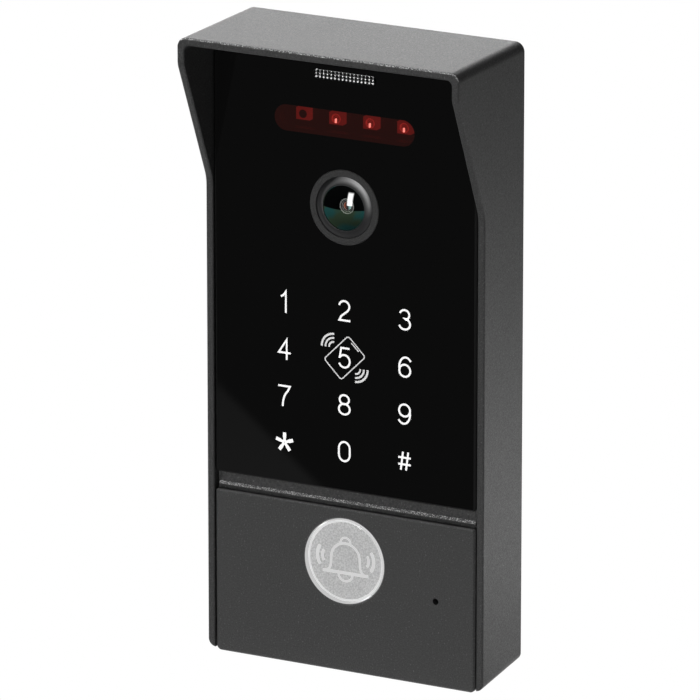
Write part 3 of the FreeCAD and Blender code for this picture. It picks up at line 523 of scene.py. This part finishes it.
# By the record's slot names, with a few more for the small pieces that are added here.
MATERIALS = {
    # The last number of each powder coat is the strength of its painted glints.
    "hood_paint": powder_coat("hood_paint", 0.048, 0.26, 0.06, 0.50, 0.80),
    "plate_paint": powder_coat("plate_paint", 0.060, 0.24, 0.03, 0.52, 0.03),
    "textured_plastic": powder_coat("textured_plastic", 0.048, 0.34, 0.08, 0.36, 0.52),
    "ring_paint": powder_coat("ring_paint", 0.028, 0.20, 0.015, 0.55, 0.03),
    "black_rubber": rubber("black_rubber", grey(0.018)),
    "steel": metal("steel", (0.56, 0.56, 0.57), 0.30),
    "spring_steel": metal("spring_steel", (0.62, 0.62, 0.63), 0.22),
    "magnet": metal("magnet", (0.55, 0.54, 0.52), 0.25),
    "bright_mesh": metal("bright_mesh", (0.80, 0.80, 0.81), 0.22),
    "aluminium": metal("aluminium", (0.70, 0.70, 0.71), 0.30),
    "black_plastic": plastic("black_plastic", (0.022, 0.022, 0.023), 0.48),
    "chip_black": plastic("chip_black", (0.016, 0.016, 0.017), 0.42, 0.15),
    "terminal_green": plastic("terminal_green", (0.02, 0.22, 0.07), 0.40),
    "black_glass": black_glass("black_glass"),
    "foam_tape": foam("foam_tape", grey(0.03)),
    "dark_red_window": dark_window("dark_red_window"),
    "cone_paper": paper("cone_paper"),
    "black_anodised": satin_black("black_anodised"),
    "pupil": pupil("pupil"),
    "lens_cell": plastic("lens_cell", (0.0008, 0.0008, 0.0010), 0.7, 0.15,
                         Specular_IOR_Level=0.05),
    "lens_edge": glowing("lens_edge", (0.62, 0.58, 0.54), 0.13),
    "mesh_knot_glints": glowing("mesh_knot_glints", (0.85, 0.85, 0.86), 0.75),
    "lens_glass": lens_glass("lens_glass", (0.010, 0.048, 0.045)),
    "circuit_board": circuit_board("circuit_board", (0.01, 0.10, 0.03), (0.03, 0.22, 0.08)),
    "red_lit_board": plastic("red_lit_board", (0.035, 0.006, 0.005), 0.45, 0.4),
    "flex_circuit": flat_cable("flex_circuit"),
    "lamp_body": lamp_body("lamp_body"),
    "white_diffuser": diffuser("white_diffuser"),
    "copper": winding("copper", (0.80, 0.42, 0.22)),
    "clear_acrylic": clear_acrylic("clear_acrylic"),
    "silver_print": silver_print("silver_print"),
}
LEGEND_INK = white_print("legend_ink", 0.75)
CARD_INK = white_print("card_ink", 0.42)
BUTTON_INK = white_print("button_ink", 0.40, 0.86)


def dress_cad_nodes():
    """Gives every CAD node the material of its slot in the record."""
    for subpart in frame["record"]["subparts"]:
        item = frame["nodes"][subpart["node"]]
        item.data.materials.clear()
        item.data.materials.append(MATERIALS[subpart["material_slot"]])


# ---------------------------------------------------------------- mesh building


def finish_mesh(name, mesh_data, material, body):
    """Turns a bmesh in metres into a named piece that rides on a body."""
    mesh = bpy.data.meshes.new(name)
    mesh_data.to_mesh(mesh)
    mesh_data.free()
    mesh.materials.append(material)
    piece = bpy.data.objects.new(name, mesh)
    bpy.context.scene.collection.objects.link(piece)
    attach(piece, body)
    return piece


def smooth(piece, angle=40):
    """Smooth shading that keeps edges sharper than the angle."""
    piece.data.shade_smooth()
    piece.data.set_sharp_from_angle(angle=math.radians(angle))
    return piece


def ribbon_edges(points, width, closed):
    """The left and right edge points of a flat line with mitred corners."""
    count = len(points)
    lefts, rights = [], []
    for index, point in enumerate(points):
        before = points[index - 1] if index > 0 or closed else point
        after = points[(index + 1) % count] if index < count - 1 or closed else point
        arrive = (point - before).normalized() if before is not point else None
        leave = (after - point).normalized() if after is not point else None
        arrive = arrive or leave
        leave = leave or arrive
        along = (arrive + leave).normalized()
        across = Vector((-along.y, along.x))
        reach = width / 2 / max(0.35, across.dot(Vector((-leave.y, leave.x))))
        lefts.append(point + across * reach)
        rights.append(point - across * reach)
    return lefts, rights


def add_ribbon(mesh_data, points, width, low, high, closed):
    """Adds a flat printed line from low to high out of the wall, all in millimetres."""
    flat = [Vector(point) for point in points]
    lefts, rights = ribbon_edges(flat, width, closed)
    rows = [[mesh_data.verts.new(place(edge.x, out, edge.y)) for edge in edges]
            for edges, out in ((lefts, high), (rights, high), (rights, low), (lefts, low))]
    count = len(flat)
    spans = count if closed else count - 1
    for index in range(spans):
        after = (index + 1) % count
        for side in range(4):
            first, second = rows[side], rows[(side + 1) % 4]
            mesh_data.faces.new((first[index], second[index], second[after], first[after]))
    if not closed:
        mesh_data.faces.new([row[0] for row in reversed(rows)])
        mesh_data.faces.new([row[-1] for row in rows])


def printed(name, lines, out, thickness, material, body):
    """One printed sign made of lines, each (points, width, closed)."""
    mesh_data = bmesh.new()
    for index, (points, width, closed) in enumerate(lines):
        # Each line is a little thicker than the last, so crossing lines don't share a face.
        high = out + thickness * (1 + 0.04 * index)
        add_ribbon(mesh_data, points, width, out, high, closed)
    bmesh.ops.recalc_face_normals(mesh_data, faces=mesh_data.faces)
    finish_mesh(name, mesh_data, material, body)


def arc(x, y, radius_x, radius_y, start, stop, steps=20):
    """Points on an ellipse's arc from one angle to another, in degrees from +X."""
    angles = [math.radians(start + (stop - start) * step / steps) for step in range(steps + 1)]
    return [(x + radius_x * math.cos(a), y + radius_y * math.sin(a)) for a in angles]


def oval(x, y, radius_x, radius_y):
    return arc(x, y, radius_x, radius_y, 0, 360, 36)[:-1]


def shifted(lines, x, y):
    """The same lines, moved to the right and up."""
    return [([(px + x, py + y) for px, py in points], width, closed)
            for points, width, closed in lines]


def turned(name, profile, centre_up, material, steps=96, centre_x=0.0):
    """A turned form of the panel about an axis out of the wall; the profile is (radius, out)."""
    mesh_data = bmesh.new()
    angles = [2 * math.pi * step / steps for step in range(steps)]
    rings = []
    for radius, out in profile:
        if radius == 0:
            rings.append([mesh_data.verts.new(place(centre_x, out, centre_up))] * steps)
            continue
        rings.append([mesh_data.verts.new(place(centre_x + radius * math.cos(a), out,
                                                centre_up + radius * math.sin(a)))
                      for a in angles])
    for inner, outer in zip(rings, rings[1:]):
        for step in range(steps):
            after = (step + 1) % steps
            corners = [inner[step], inner[after], outer[after], outer[step]]
            mesh_data.faces.new(list(dict.fromkeys(corners)))
    bmesh.ops.recalc_face_normals(mesh_data, faces=mesh_data.faces)
    return smooth(finish_mesh(name, mesh_data, material, "panel"))


def add_wire(mesh_data, points, radius, sides=8):
    """A round wire along the points, in millimetres as (x, out, up)."""
    path = [place(*point) for point in points]
    rings = []
    for index, point in enumerate(path):
        before = path[max(0, index - 1)]
        after = path[min(len(path) - 1, index + 1)]
        along = (after - before).normalized()
        aside = along.cross(Vector((0, 1, 0))).normalized()
        upward = aside.cross(along)
        ring = []
        for side in range(sides):
            angle = 2 * math.pi * side / sides
            offset = (aside * math.cos(angle) + upward * math.sin(angle)) * radius * MM
            ring.append(mesh_data.verts.new(point + offset))
        rings.append(ring)
    for first, second in zip(rings, rings[1:]):
        for side in range(sides):
            after = (side + 1) % sides
            mesh_data.faces.new((first[side], first[after], second[after], second[side]))
    mesh_data.faces.new(list(reversed(rings[0])))
    mesh_data.faces.new(rings[-1])


# ---------------------------------------------------------------- key legends

STROKE = 0.46   # width of a pen line
WIDE = 1.42     # half the width between a digit's side strokes
TALL = 2.32     # half the height between its top and bottom strokes
INK = 0.03      # thickness of the print on the glass

# The pen lines of each digit about its own centre, as (points, closed).
DIGITS = {
    "0": [(arc(0, 0.72, WIDE, TALL - 0.72, 0, 180) + arc(0, -0.72, WIDE, TALL - 0.72, 180, 360),
           True)],
    "1": [([(-0.85, 1.22), (-0.15, 1.66), (0.42, 2.52), (0.42, -2.6)], False)],
    "2": [(arc(0, 1.02, WIDE - 0.1, TALL - 1.02, 172, -22)
           + [(0.75, -0.10), (-0.75, -1.28), (-1.30, -TALL), (1.58, -TALL)], False)],
    "3": [(arc(-0.05, 1.18, 1.22, TALL - 1.18, 165, -75, 18)
           + arc(-0.05, -1.05, WIDE, TALL - 1.05, 85, -165, 22), False)],
    "4": [([(0.62, -2.6), (0.62, 2.25), (-1.45, -0.92), (1.66, -0.92)], False)],
    "5": [([(1.35, TALL), (-0.82, TALL), (-1.17, 0.10)]
           + arc(0, -0.82, WIDE, TALL - 0.82, 142, -160, 26), False)],
    "6": [(oval(0.02, -0.88, WIDE, TALL - 0.88), True),
          (arc(0.25, 0, 1.66, TALL, 38, 190), False)],
    "7": [([(-1.62, TALL), (1.45, TALL)] + arc(2.1, -2.6, 2.55, 4.3, 118, 180, 12), False)],
    "8": [(oval(0, 1.22, 1.22, TALL - 1.22), True), (oval(0, -1.05, WIDE, TALL - 1.05), True)],
    "9": [(oval(-0.02, 0.88, WIDE, TALL - 0.88), True),
          (arc(-0.25, 0, 1.66, TALL, 218, 370), False)],
}

KEYS = ("1", "2", "3"), ("4", "5", "6"), ("7", "8", "9"), ("star", "0", "hash")
KEY_PITCH_X = 15.7
KEY_PITCH_Y = 11.3
KEY_MIDDLE_UP = -5.57


def key_centre(row, column):
    return (column - 1) * KEY_PITCH_X, KEY_MIDDLE_UP + (1.5 - row) * KEY_PITCH_Y


def star_lines():
    """Five arms that widen outwards, each drawn as two strokes."""
    lines = []
    for arm in range(5):
        angle = math.radians(90 + 72 * arm)
        along = Vector((math.cos(angle), math.sin(angle)))
        for start, stop, width in ((0.1, 1.5, 0.66), (1.1, 2.35, 0.84)):
            lines.append(([tuple(along * start), tuple(along * stop)], width, False))
    return lines


def hash_lines():
    """Two leaning uprights and two level bars."""
    lines = [([(x - 0.28, -2.2), (x + 0.28, 2.2)], STROKE, False) for x in (-0.68, 0.68)]
    lines += [([(-1.62, y), (1.62, y)], STROKE, False) for y in (-0.82, 0.82)]
    return lines


def key_lines(name):
    if name == "star":
        return star_lines()
    if name == "hash":
        return hash_lines()
    return [(points, STROKE, closed) for points, closed in DIGITS[name]]


def make_key_legends(glass_front):
    for row, names in enumerate(KEYS):
        for column, name in enumerate(names):
            lines = shifted(key_lines(name), *key_centre(row, column))
            printed(f"key_{name}", lines, glass_front, INK, LEGEND_INK, "panel")


def rounded_card(half_long, half_short, radius):
    """A rounded rectangle that stands on one corner."""
    points = []
    for x, y, start in ((1, 1, 0), (-1, 1, 90), (-1, -1, 180), (1, -1, 270)):
        corner = (x * (half_long - radius), y * (half_short - radius))
        points += arc(*corner, radius, radius, start, start + 90, 8)
    turn = math.radians(45)
    return [(px * math.cos(turn) - py * math.sin(turn), px * math.sin(turn) + py * math.cos(turn))
            for px, py in points]


def make_card_sign(glass_front):
    """A card with radio waves round the middle key."""
    outline = 0.26
    straight_end = 0.12
    lines = [(rounded_card(4.45, 3.15, 0.65), outline, True),
             ([(1.72, 3.82), (3.62, 1.98)], outline, False)]
    for side in (-1, 1):
        start = 90 if side < 0 else 270
        for radius, width in ((3.12, 0.50), (2.14, 0.45), (1.20, 0.42)):
            wave = arc(side * 2.85, -side * 2.25, radius, radius, start, start + 90, 14)
            before = (wave[0][0] - side * straight_end, wave[0][1])
            after = (wave[-1][0], wave[-1][1] + side * straight_end)
            lines.append(([before] + wave + [after], width, False))
    x, y = key_centre(1, 1)
    printed("card_sign", shifted(lines, x + 0.1, y), glass_front, INK, CARD_INK, "panel")


# ---------------------------------------------------------------- bell button


def bell_outline():
    """The bell's side and top as one line, from foot to foot, about the disc's centre."""
    half = 3.75
    foot = [(half + 0.95, -2.75), (half + 0.42, -2.3), (half + 0.12, -1.5), (half + 0.03, -0.6)]
    right = foot + arc(0, 0.5, half, 3.7, 0, 90, 16)
    left = [(-x, y) for x, y in reversed(right[:-1])]
    return right + left


def make_button_print():
    """The bell sign and the round border on the button's face."""
    face = NodeBox("bell_button_face")
    thickness = 0.01
    half_bar = 6.0
    bar_up = -3.02
    border_radius = 9.6
    lines = [(bell_outline(), 0.56, False),
             ([(-half_bar, bar_up), (half_bar, bar_up)], 0.72, False),
             (arc(0, 4.15, 1.32, 1.45, 0, 180, 14), 0.48, False),
             (arc(0, bar_up - 0.2, 1.85, 1.80, 180, 360, 16), 0.52, False)]
    for side, middle in ((-1, 180), (1, 0)):
        for radius, half_span, width in ((3.85, 37, 0.78), (2.5, 32, 0.66)):
            wave = arc(side * 3.55, 0.62, radius, radius, middle - half_span, middle + half_span,
                       12)
            lines.append((wave, width, False))
    border = [(oval(0, 0, border_radius, border_radius), 0.46, True)]
    for name, sign in (("bell_sign", lines), ("button_border", border)):
        printed(name, shifted(sign, 0, face.centre_up), face.front, thickness, BUTTON_INK,
                "bell_button")


def make_return_spring():
    """The bell button's coil spring, as a wire in place of the CAD spring."""
    box = NodeBox("return_spring")
    wire = 0.25
    coil = box.width / 2 - wire
    turns = 3.5
    steps = 168
    points = []
    for step in range(steps + 1):
        share = step / steps
        turn = 2 * math.pi * turns * share
        points.append((box.centre_x + coil * math.cos(turn),
                       box.back + wire + (box.depth - 2 * wire) * share,
                       box.centre_up + coil * math.sin(turn)))
    mesh_data = bmesh.new()
    add_wire(mesh_data, points, wire)
    spring = finish_mesh("coil_spring", mesh_data, MATERIALS["spring_steel"], "panel")
    smooth(spring, 80)
    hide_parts("return_spring")
    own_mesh(spring)


# ---------------------------------------------------------------- speaker mesh


def make_speaker_mesh():
    """Woven wire behind the slot, in place of the plain CAD strip."""
    box = NodeBox("speaker_mesh")
    wire = 0.085
    pitch = 0.98
    rise = 0.80
    half = box.height / 2
    straight = box.width / 2 - half
    across = [box.left + pitch * (step + 0.5) for step in range(int(box.width / pitch))]
    rows = [box.bottom + rise * (step + 0.5) for step in range(int(box.height / rise) + 1)]

    def weave(step, other):
        return box.centre_out + wire * 0.9 * (1 if (step + other) % 2 else -1)

    mesh_data = bmesh.new()
    for column, x in enumerate(across):
        inset = max(0.0, abs(x - box.centre_x) - straight)
        reach = math.sqrt(max(0.0, half ** 2 - inset ** 2))
        ups = [up for up in rows if abs(up - box.centre_up) <= reach]
        if len(ups) > 1:
            add_wire(mesh_data, [(x, weave(column, rows.index(up)), up) for up in ups], wire)
    for row, up in enumerate(rows):
        drop = abs(up - box.centre_up)
        if drop <= half - wire:
            reach = straight + math.sqrt(half ** 2 - drop ** 2)
            points = [(x, weave(column, row + 1), up) for column, x in enumerate(across)
                      if abs(x) <= reach]
            add_wire(mesh_data, points, wire)
    mesh = finish_mesh("speaker_wire_mesh", mesh_data, MATERIALS["bright_mesh"], "panel")
    smooth(mesh, 80)
    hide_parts("speaker_mesh")

    # A bead on the lower front of each crossing, smaller towards the top, with a painted glint, a
    # glow for the light it would catch.
    lead = 0.1
    knots = bmesh.new()
    for x in across:
        for row, up in enumerate(rows):
            if abs(up - box.centre_up) < half - 0.2:
                spot = Matrix.Translation(place(x, box.centre_out + lead, up - lead))
                radius = 0.21 - 0.06 * row
                bmesh.ops.create_icosphere(knots, subdivisions=2, radius=radius * MM, matrix=spot)
    smooth(finish_mesh("speaker_mesh_knots", knots, MATERIALS["mesh_knot_glints"], "panel"))


# ---------------------------------------------------------------- the panel's camera


def dome(edge_radius, edge_out, rise, steps):
    """The profile of a shallow dome, as (radius, out) from its edge to its middle."""
    ball = (edge_radius ** 2 + rise ** 2) / (2 * rise)
    points = []
    for step in range(steps + 1):
        radius = edge_radius * (1 - step / steps)
        points.append((radius, edge_out + rise - ball + math.sqrt(ball ** 2 - radius ** 2)))
    return points


def make_lens(glass_front):
    """Smooth lens dome with painted reflections over a stepped black cell, with small rings that
    have a painted highlight glow, in a turned cone with a painted highlight.
    """
    box = NodeBox("lens_front_element")
    radius = box.width / 2
    rise = 1.8
    edge = box.front - rise
    cell_back = box.back + 0.3

    def part(name, profile, material):
        return turned(name, profile, box.centre_up, MATERIALS[material])

    glass = part("lens_dome", [(radius, box.back)] + dome(radius, edge, rise, 24), "lens_glass")
    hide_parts("lens_front_element")
    part("lens_cone", [(7.28, glass_front - 0.06), (7.20, glass_front + 0.02),
                       (radius + 0.30, glass_front + 0.35), (radius + 0.12, glass_front + 0.30),
                       (radius + 0.05, edge + 0.1)], "black_anodised")
    part("lens_cell", [(radius - 0.1, edge + 0.1), (3.6, cell_back + 0.9), (2.5, cell_back + 0.6),
                       (2.3, cell_back + 0.35), (2.05, cell_back + 0.3), (2.0, cell_back - 0.4),
                       (0, cell_back - 0.4)], "lens_cell")
    # The rings' brightness is a painted highlight, a glow.
    for index, (middle, half) in enumerate(((1.72, 0.12), (1.32, 0.05), (1.0, 0.05))):
        out = cell_back + 0.42 - 0.16 * index
        part(f"lens_ring_{index + 1}",
             [(middle + half, out - 0.1), (middle + half * 0.7, out), (middle, out + 0.05),
              (middle - half * 0.7, out), (middle - half, out - 0.25)],
             "lens_edge")
    part("lens_pupil", dome(0.95, cell_back - 0.15, 0.35, 8), "pupil")


# ---------------------------------------------------------------- infrared lamps


def make_lamp_details():
    """The cup and the chip of each infrared lamp, with painted glows for the cup's halo and the
    chip's bright glint, and the sensor's dark cup.
    """
    lamps = NodeBox("infrared_lamps")
    # Painted glows, strong and short of red, because the window takes most of the other colours
    # away.
    cup = glowing("lamp_cup", (0.6, 1.0, 1.0), 2.6)
    chip = glowing("lamp_chip", (0.12, 1.0, 1.0), 80.0)
    count = 3
    package = 3.5
    pitch = (lamps.width - package) / (count - 1)
    out = lamps.front
    rim = [(1.18, out - 0.4), (1.16, out + 0.02), (1.02, out + 0.05), (0.98, out - 0.4)]
    spark = [(0.21, out - 0.3), (0.21, out + 0.02), (0.14, out + 0.06), (0, out + 0.06)]
    for index in range(count):
        x = lamps.left + package / 2 + pitch * index
        turned(f"lamp_cup_{index + 1}", rim, lamps.centre_up, cup, 32, x)
        for step, drop in enumerate((0.0, 0.32, 0.64)):
            turned(f"lamp_chip_{index + 1}_{step + 1}", spark, lamps.centre_up - 0.2 - drop, chip,
                   20, x - 0.1)
    sensor = NodeBox("light_sensor")
    out = sensor.front
    profile = [(1.05, out - 0.3), (1.0, out + 0.04), (0.9, out - 0.2), (0, out - 0.3)]
    turned("sensor_cup", profile, sensor.centre_up, MATERIALS["lens_cell"], 32,
           sensor.centre_x)


# ---------------------------------------------------------------- studio


def floor_material():
    """White to the camera, a set of bright and dim zones to mirror-like surfaces, and a soft
    pool of light to matt ones. Clear from below."""
    paint = Shader("floor_paint", grey(0.8), 0.6)
    axes = paint.position_axes()
    length = paint.add("ShaderNodeVectorMath", {"operation": "LENGTH"})
    paint.connect(length.inputs[0], paint.position())
    reach = length.outputs["Value"]
    # In front, a pale table ends along a slanted edge on the left, and the room beyond is dim.
    diagonal = paint.combine("SUBTRACT", axes["Y"], axes["X"])
    table = paint.blend(paint.slope(axes["X"], -0.03, 0.0),
                        paint.slope(diagonal, -0.072, -0.068), 1.0)
    near = paint.ramp(reach, (0.0, grey(0.66)), (0.12, grey(0.70)), (0.18, grey(0.94)),
                      (0.50, grey(0.40)))
    front = paint.blend(table, 0.15, near)
    # A bright strip of floor beside and behind the panel shades its sides from bottom to top.
    strip = paint.ramp(reach, (0.0, grey(0.55)), (0.10, grey(0.58)), (0.13, grey(1.0)),
                       (0.18, grey(1.0)), (0.23, grey(0.70)), (0.33, grey(0.60)),
                       (0.39, grey(0.13)), (1.0, grey(0.11)))
    mirrored = paint.blend(paint.slope(axes["Y"], -0.03, 0.0), front,
                           paint.between(strip, 0.0, 2.1))
    pool = paint.between(paint.slope(reach, 0.25, 0.05), 0.0, 0.15)
    thrown = paint.blend(paint.light_path("Is Glossy Ray"), pool, mirrored)
    seen = paint.blend(paint.light_path("Is Camera Ray"), thrown, 1.0)
    paint.surface(paint.mixed_shader(paint.backfacing(), paint.emission(Strength=seen),
                                     paint.transparent()))
    return paint.material


def make_floor(bottom):
    """A large floor at the panel's lower edge."""
    half = 6.0
    mesh = bpy.data.meshes.new("floor")
    corners = [(-half, -half, bottom), (half, -half, bottom), (half, half, bottom),
               (-half, half, bottom)]
    mesh.from_pydata(corners, [], [(0, 1, 2, 3)])
    mesh.materials.append(floor_material())
    floor = bpy.data.objects.new("floor", mesh)
    bpy.context.scene.collection.objects.link(floor)


def make_world():
    """White to the camera; for light, dim in front and a little less so behind and above."""
    world = bpy.data.worlds.new("studio")
    world.use_nodes = True
    sky = Nodes(world.node_tree)
    direction = sky.axes("ShaderNodeTexCoord", "Generated")
    behind = sky.level(direction["Y"], 0.15, 0.6, 0.0, 0.035)
    above = sky.level(direction["Z"], 0.45, 0.95, 0.004, 0.035)
    light = sky.combine("ADD", behind, above)
    seen = sky.blend(sky.light_path("Is Camera Ray"), light, 1.0)
    sky.set(sky.tree.nodes["Background"], Color=grey(1.0), Strength=seen)
    bpy.context.scene.world = world


def area_light(name, position, aim, width, height, power, lights="all"):
    """A soft rectangular lamp; lights is all, mirrors or matt: the surfaces that it reaches."""
    lamp = bpy.data.lights.new(name, "AREA")
    lamp.shape = "RECTANGLE"
    lamp.size = width
    lamp.size_y = height
    lamp.energy = power
    item = bpy.data.objects.new(name, lamp)
    bpy.context.scene.collection.objects.link(item)
    item.location = position
    item.rotation_euler = (Vector(aim) - Vector(position)).to_track_quat("-Z", "Y").to_euler()
    item.visible_camera = False
    item.visible_glossy = lights != "matt"
    item.visible_diffuse = lights != "mirrors"


def make_lights():
    area_light("top_softbox", (-0.3, 0.5, 1.1), (0, 0, 0.05), 1.0, 0.8, 7.8, "matt")
    area_light("back_glow", (-0.75, 1.35, 0.42), (0, 0, 0.07), 1.2, 0.6, 11.2, "mirrors")
    area_light("crest_lamp", (-0.55, -0.30, 1.02), (0, 0, 0), 0.5, 0.3, 3.0, "mirrors")
    area_light("strip_softbox", (-0.16, -1.0, 0.38), (0, 0, 0.03), 0.16, 0.9, 5.0, "mirrors")
    area_light("front_left_fill", (-0.35, -1.1, 0.0), (0, 0, -0.02), 0.5, 0.5, 5.0, "matt")
    area_light("front_right_fill", (0.8, -0.8, 0.0), (0, 0, 0), 0.5, 0.5, 1.2, "matt")
    # This one is under the floor's level, so it reaches the panel only when the floor is left out.
    area_light("right_softbox", (0.9, -0.25, -0.2), (0, 0, -0.02), 0.4, 0.4, 0.8)
    area_light("left_softbox", (-1.0, 0.15, 0.1), (0, 0, 0), 0.6, 0.8, 4.5)
    area_light("back_softbox", (0.3, 1.4, 0.0), (0, 0, 0), 1.0, 0.8, 8.0, "matt")


def make_camera():
    """Stands to the right of the panel's front and looks slightly down, from far away."""
    azimuth = math.radians(28.0)
    pitch = math.radians(16.58)
    distance = 1.8961
    aim_right, aim_up = 0.0078, 0.0030
    forward = Vector((-math.sin(azimuth) * math.cos(pitch), math.cos(azimuth) * math.cos(pitch),
                      -math.sin(pitch)))
    right = Vector((math.cos(azimuth), math.sin(azimuth), 0))
    upward = right.cross(forward)
    camera = bpy.data.cameras.new("camera")
    camera.sensor_width = 36.0
    camera.lens = 419.8
    camera.clip_end = 20.0
    item = bpy.data.objects.new("camera", camera)
    bpy.context.scene.collection.objects.link(item)
    stance = Matrix((right, upward, -forward)).transposed().to_4x4()
    stance.translation = -(right * aim_right + upward * aim_up + forward * distance)
    item.matrix_world = stance
    bpy.context.scene.camera = item


def main():
    dress_cad_nodes()
    glass_front = NodeBox("glass_panel").front
    make_key_legends(glass_front)
    make_card_sign(glass_front)
    make_button_print()
    make_speaker_mesh()
    make_return_spring()
    make_lens(glass_front)
    make_lamp_details()
    make_floor(cad_low.z)
    make_world()
    make_lights()
    make_camera()
    bpy.context.scene.view_settings.view_transform = "Standard"


main()
